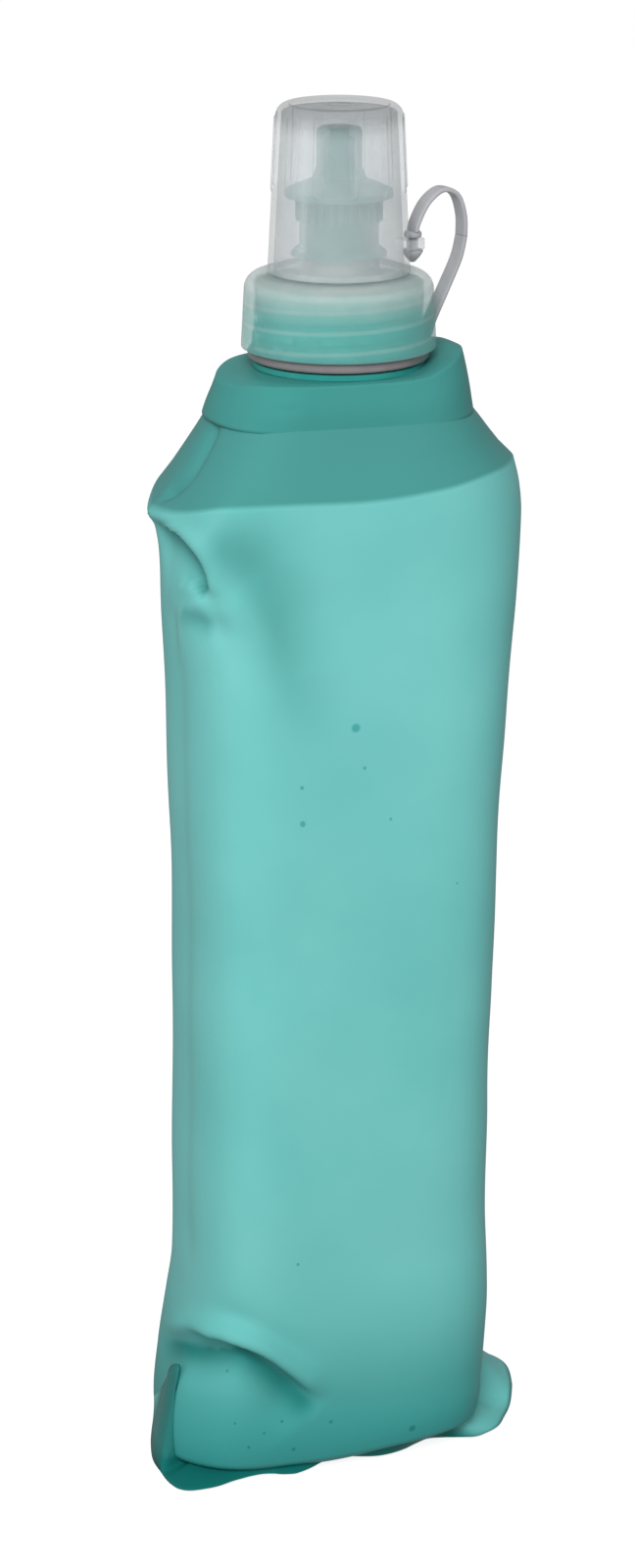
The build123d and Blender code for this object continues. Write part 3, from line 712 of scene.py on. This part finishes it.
# a small wrinkle in the band's front, with the values that fold takes
BAND_WRINKLE = ([(-18.4, -14.6, 197.2), (-14.8, -16.2, 196.9), (-11.2, -16.8, 196.8)],
                -0.55, 0.5, 0.7, 1.4, (0.3, 0.7))
BAND_AROUND, BAND_ROWS, TOP_ROWS = 180, 14, 9
RIM_STEPS = (0.25, 0.7)     # the first steps in from the rim, which keep its edge crisp
TOP_CROWN = 0.25            # how far the top film stands above the rim


def build_shoulder(bm):
    """The top film: a welded band that stands over the sleeve's upper edge, and a top that runs in to
    the neck."""
    inward = [RIM + step for step in RIM_STEPS] + [RIM + 1.0 + i for i in range(TOP_ROWS)]
    levels = [BAND_FOOT + (RIM - BAND_FOOT) * i / BAND_ROWS for i in range(BAND_ROWS + 1)] + inward
    turn, level = rolled_film(bm, BAND_AROUND, levels)
    for vert in bm.verts:
        angle, height = vert[turn], vert[level]
        row = between(BAND_SECTIONS, min(height, RIM))
        x, y = flat_oval(angle, *row[:7])
        z = min(height, RIM)
        if height > RIM:
            share = (height - RIM) / (inward[-1] - RIM)
            ring = Vector((NECK_HOLE * cos(angle), NECK_HOLE * sin(angle)))
            x, y = x + (ring.x - x) * share, y + (ring.y - y) * share
            z = RIM + TOP_CROWN * smooth(share, 0, 0.3)
        vert.co = (x, y, z + between(RIM_LINE, x)[0] * smooth(height, BAND_FOOT, RIM))
    face_outwards(bm)
    fold(bm.verts, *BAND_WRINKLE)
    lay_film_map(bm, turn, level)


# ============================ rippled hem and base ============================

# azimuth in degrees: radius and height of the hem's edge, height where it leaves the sleeve
HEM_EDGE = [
    (0, 34.8, 2.4, 12.0), (10, 36.2, 3.4, 11.5), (22, 36.8, 2.6, 8.0), (36, 36.4, 1.0, 3.0),
    (50, 33.5, 0.5, 1.6), (65, 29.0, 1.5, 2.0), (78, 28.0, 0.5, 1.6), (90, 29.0, 0.5, 1.6),
    (104, 28.0, 1.5, 2.0), (118, 30.0, 0.5, 1.6), (132, 35.0, 0.5, 2.0), (145, 34.0, 0.8, 2.5),
    (157, 33.2, 0.5, 3.0), (168, 33.9, 0.5, 5.5), (176, 34.7, 0.5, 8.5), (183, 35.8, 0.5, 12.5),
    (188, 36.8, 0.5, 15.5), (192, 37.7, 0.5, 18.2), (195, 38.3, 0.5, 19.6), (197.5, 38.7, 0.5, 18.5),
    (199.5, 39.0, 0.5, 8.0), (201.5, 39.4, 0.5, 1.6), (205.5, 40.3, 0.5, 1.6), (208.5, 40.8, 0.5, 1.6),
    (211.5, 40.9, 0.5, 1.6), (214.2, 39.8, 0.5, 1.6), (217.7, 36.0, 0.5, 1.6), (220.5, 31.3, 0.5, 1.6),
    (225.6, 27.3, 0.5, 1.6), (234, 25.4, 0.5, 1.6), (238.4, 24.3, 0.5, 1.6), (242.3, 22.2, 0.5, 1.6),
    (247, 19.4, 0.5, 1.6), (253, 17.4, 0.5, 1.6), (261, 16.9, 0.5, 1.6), (268, 17.3, 0.5, 1.6),
    (281, 18.4, 0.5, 1.6), (296, 18.8, 0.5, 1.6), (307, 18.9, 0.5, 1.6), (316, 19.9, 0.5, 1.6),
    (322, 23.4, 0.5, 1.6), (325.7, 27.2, 0.5, 1.6), (330, 28.9, 0.5, 1.6), (336, 30.6, 0.5, 1.6),
    (344, 31.7, 0.5, 1.8), (349, 32.6, 0.5, 2.4), (353, 33.4, 0.8, 4.5), (357, 34.2, 1.8, 10.5),
    (360, 34.8, 2.4, 12.0),
]
HEM_AROUND, HEM_ROWS, BASE_ROWS = 600, 9, 8
WELD_LEVEL = 3.0            # level of the sleeve whose outline the hem follows
KNEE_OUT, KNEE_UP = 0.45, 0.50      # where the hem bends, as shares of its way out and of its height
BASE_RUN = 0.95             # share of the way to the middle that the base's rows run in
BASE_DIP = 0.4              # how far the base film dips inside the hem's edge
# azimuths where the ear and the right lobe fade in and out, and the levels that set their painted shade
EAR_IN, EAR_OUT, EAR_LEVEL = (168, 182), (214, 218), 3.4
LOBE_IN, LOBE_OUT, LOBE_LEVEL = (316, 332), (36, 60), 5.0


def build_hem(bm):
    """Base film and hem: the hem runs out and down from the sleeve to its edge, and the base film closes
    it below."""
    turn, level = rolled_film(bm, HEM_AROUND, list(range(HEM_ROWS + BASE_ROWS + 1)))
    for vert in bm.verts:
        angle, share = vert[turn], vert[level] / HEM_ROWS
        foot = sleeve_point(angle, WELD_LEVEL)
        azimuth = atan2(foot.y, foot.x) % tau
        radius, edge_height, meet_height = between(HEM_EDGE, azimuth * 180 / pi)
        edge = Vector((radius * cos(azimuth), radius * sin(azimuth), edge_height))
        meet = sleeve_point(angle, max(meet_height, SLEEVE_FOOT))
        knee = meet.lerp(edge, KNEE_OUT)
        knee.z = edge_height + KNEE_UP * (meet.z - edge_height)
        if share <= 1:
            vert.co = meet.lerp(knee, share).lerp(knee.lerp(edge, share), share)
        else:
            inner = (vert[level] - HEM_ROWS) / BASE_ROWS
            vert.co = edge * (1 - BASE_RUN * inner)
            vert.co.z = edge_height * (1 - smooth(inner, 0.0, 0.3)) - BASE_DIP * smooth(inner, 0.0, 0.1)
    last = [vert for vert in bm.verts if vert[level] == HEM_ROWS + BASE_ROWS]
    bmesh.ops.contextual_create(bm, geom=ring_edges(bm, last))
    lowest = min(vert.co.z for vert in bm.verts)
    bmesh.ops.translate(bm, verts=bm.verts, vec=(0, 0, -lowest))
    face_outwards(bm)
    for vert in bm.verts:
        # the film map's level sets the painted shade: the folded ear gets it as deep as at the floor, and
        # the right lobe is kept nearly clear of it
        azimuth = atan2(vert.co.y, vert.co.x) % tau * 180 / pi
        ear = smooth(azimuth, *EAR_IN) * (1 - smooth(azimuth, *EAR_OUT))
        lobe = smooth(azimuth, *LOBE_IN) if azimuth > 180 else 1 - smooth(azimuth, *LOBE_OUT)
        vert[level] = (vert.co.z * (1 - ear) + min(vert.co.z, EAR_LEVEL) * ear
                       + LOBE_LEVEL * lobe * min(vert.co.z, 1.0))
    lay_film_map(bm, turn, level)


# ============================ tether strap ============================

# the strap's route: radius, height, and azimuth in degrees
STRAP_LOWER = [
    (16.1, 202.75, 17), (17.4, 203.1, 17), (18.7, 206.6, 16), (21.0, 212.0, 14), (23.0, 217.2, 12),
    (23.7, 221.0, 11),
]
STRAP_UPPER = [
    (23.7, 221.0, 11), (23.6, 224.6, 11), (22.3, 228.2, 11), (19.5, 229.3, 11), (16.6, 227.4, 11),
    (14.7, 224.2, 11), (14.2, 222.4, 11),
]
STRAP_WIDTH, STRAP_THICKNESS = 3.5, 0.9
FLAT_FACES, ROUND_EDGES = 0.35, 0.6     # how the strap's round section is squared across and through
STRAP_STEPS, STRAP_SEGMENTS, STUD_SEGMENTS = 8, 20, 24
# the stud that holds the strap in the cover's eye: radius and azimuth, then radius and height of its steps
STUD_RADIUS, STUD_AZIMUTH = 14.2, 11
STUD = [
    (1.2, 222.5), (1.55, 222.2), (1.55, 221.6), (1.3, 221.35), (0.78, 221.3), (0.78, 219.3), (1.75, 219.25),
    (1.8, 218.9), (1.3, 218.1), (0.6, 217.3), (0.35, 217.1),
]


def round_neck(radius, azimuth, height=0.0):
    """A point at this radius, azimuth in degrees and height about the neck's axis."""
    return Vector((radius * cos(radians(azimuth)), radius * sin(radians(azimuth)), height))


def strap_run(bm, route):
    """A moulded ribbon drawn along its route."""
    knots = [round_neck(radius, azimuth, height) for radius, height, azimuth in route]
    line = drawn_curve(knots, STRAP_STEPS)
    stations = []
    for index, spot in enumerate(line):
        across = Vector((-spot.y, spot.x, 0)).normalized()
        ahead = (line[min(index + 1, len(line) - 1)] - line[max(index - 1, 0)]).normalized()
        turn = Matrix((across, ahead.cross(across), ahead)).transposed().to_4x4()
        stations.append(Matrix.Translation(spot) @ turn)
    ring = bmesh.ops.create_circle(bm, segments=STRAP_SEGMENTS, radius=1.0)["verts"]
    for vert in ring:
        corner = vert.co.copy()
        vert.co.x = STRAP_WIDTH / 2 * (abs(corner.x) ** FLAT_FACES) * (1 if corner.x > 0 else -1)
        vert.co.y = STRAP_THICKNESS / 2 * (abs(corner.y) ** ROUND_EDGES) * (1 if corner.y > 0 else -1)
    bmesh.ops.transform(bm, matrix=stations[0], verts=ring)
    edges = ring_edges(bm, ring)
    first = edges
    for here, there in zip(stations, stations[1:]):
        drawn = bmesh.ops.extrude_edge_only(bm, edges=edges)["geom"]
        verts = [g for g in drawn if isinstance(g, bmesh.types.BMVert)]
        bmesh.ops.transform(bm, matrix=there @ here.inverted(), verts=verts)
        edges = [g for g in drawn if isinstance(g, bmesh.types.BMEdge)]
    bmesh.ops.contextual_create(bm, geom=first)
    bmesh.ops.contextual_create(bm, geom=edges)


def build_strap_lower(bm):
    """The strap from its ring to the bend beside the collar."""
    strap_run(bm, STRAP_LOWER)
    bmesh.ops.recalc_face_normals(bm, faces=bm.faces)


def turned_stud(bm, centre, profile):
    """A round stud: a circle drawn through (radius, height) steps about an upright axis, closed at both
    ends."""
    radius, height = profile[0]
    ring = bmesh.ops.create_circle(bm, segments=STUD_SEGMENTS, radius=radius,
                                   matrix=Matrix.Translation(centre + Vector((0, 0, height))))["verts"]
    edges = ring_edges(bm, ring)
    first = edges
    space = Matrix.Translation(-centre)
    for (was, at), (now, to) in zip(profile, profile[1:]):
        drawn = bmesh.ops.extrude_edge_only(bm, edges=edges)["geom"]
        verts = [g for g in drawn if isinstance(g, bmesh.types.BMVert)]
        bmesh.ops.translate(bm, verts=verts, vec=(0, 0, to - at))
        bmesh.ops.scale(bm, verts=verts, vec=(now / was, now / was, 1), space=space)
        edges = [g for g in drawn if isinstance(g, bmesh.types.BMEdge)]
    bmesh.ops.contextual_create(bm, geom=first)
    bmesh.ops.contextual_create(bm, geom=edges)


def build_strap_upper(bm):
    """The strap from its bend to the cover's eye, with its stud."""
    strap_run(bm, STRAP_UPPER)
    turned_stud(bm, round_neck(STUD_RADIUS, STUD_AZIMUTH), STUD)
    bmesh.ops.recalc_face_normals(bm, faces=bm.faces)


# ============================ floor ============================

FLOOR_REACH = 6000.0        # half the sheet's width
FLOOR_GLOW = 0.88           # strength of the paper's own light


def build_floor():
    """A sheet of matt white paper that glows, so that its even white has no edge behind the flask."""
    def sheet(bm):
        bmesh.ops.create_grid(bm, x_segments=1, y_segments=1, size=FLOOR_REACH)
    paper, tree, shader = new_material("white_paper", Roughness=0.9)
    shader.inputs["Base Color"].default_value = to_linear("#9C9C9C")
    shader.inputs["Emission Color"].default_value = to_linear("#FFFFFF")
    shader.inputs["Emission Strength"].default_value = FLOOR_GLOW
    floor = new_piece("floor", sheet, paper)
    # the paper's glow whitens the ground, and doesn't light the flask or show in it
    floor.visible_diffuse = False
    floor.visible_glossy = False


# ============================ the whole flask ============================

place_camera()
light_the_set()
build_floor()

# painted shade: the sleeve's film darkens towards its foot, and on the shoulder above the crease
film = tpu_film("teal_tpu_film", "#70C5C1", "#7ACCC8",
                [("#3B9B97", 42.0, 3.0), ("#4A9591", 180.6, 181.8)], BUBBLES)
# the hem is deepest at its seam, where two films are welded in one
# painted shade: the hem darkens towards the floor, where the bag's overhang shades it
hem_film = tpu_film("hem_teal_tpu_film", "#6CC2BE", "#76C9C5", [("#14706B", 7.0, 2.5)])
# the band is two films welded flat, as deep as the shoulder below it
welded = tpu_film("welded_teal_tpu_film", "#40928D", "#479893")
sleeve = new_piece("film_sleeve", build_sleeve, film)
film_wall(sleeve)
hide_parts("body_sleeve")
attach(sleeve, "bag")
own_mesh(sleeve)

hem = new_piece("film_hem", build_hem, hem_film)
film_wall(hem)
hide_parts("base_panel")
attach(hem, "bag")

shoulder = new_piece("film_shoulder", build_shoulder, welded)
film_wall(shoulder)
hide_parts("shoulder_panel")
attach(shoulder, "neck")

# polyethylene moulded thin: a waxy grey that lets a little light through
tether_plastic = moulded("grey_tether_polyethylene", "#C9C9CD", "#BEBEC3", 0.28, 0.20, IOR=1.5)
strap_lower = new_piece("tether_strap_lower", build_strap_lower, tether_plastic)
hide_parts("strap_lower")
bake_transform(strap_lower)
strap_upper = new_piece("tether_strap_upper", build_strap_upper, tether_plastic)
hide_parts("strap_upper")
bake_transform(strap_upper)

finishes = {
    # polyethylene dyed through in the film's deeper teal: a dull gloss, and no light through it
    "neck_spout": moulded("teal_neck_polyethylene", "#2C9790", "#258F88", 0.35, 0.0, IOR=1.5),
    # polyethylene in mauve grey: smooth, with a soft shine along its edge
    "tether_ring": moulded("mauve_grey_ring_polyethylene", "#8A8385", "#7F797B", 0.25, 0.0, IOR=1.5),
    "collar": collar_plastic(),
    # silicone rubber: matt, pale, and a little see-through
    "cap_gasket": moulded("teal_gasket_silicone", "#8FD6D0", "#86CFC9", 0.5, 0.1, IOR=1.41),
    "nozzle": nozzle_plastic(),
    "dust_cover": cover_plastic(),
}
for name, finish in finishes.items():
    node = nodes[name]
    node.data.materials.clear()
    node.data.materials.append(finish)
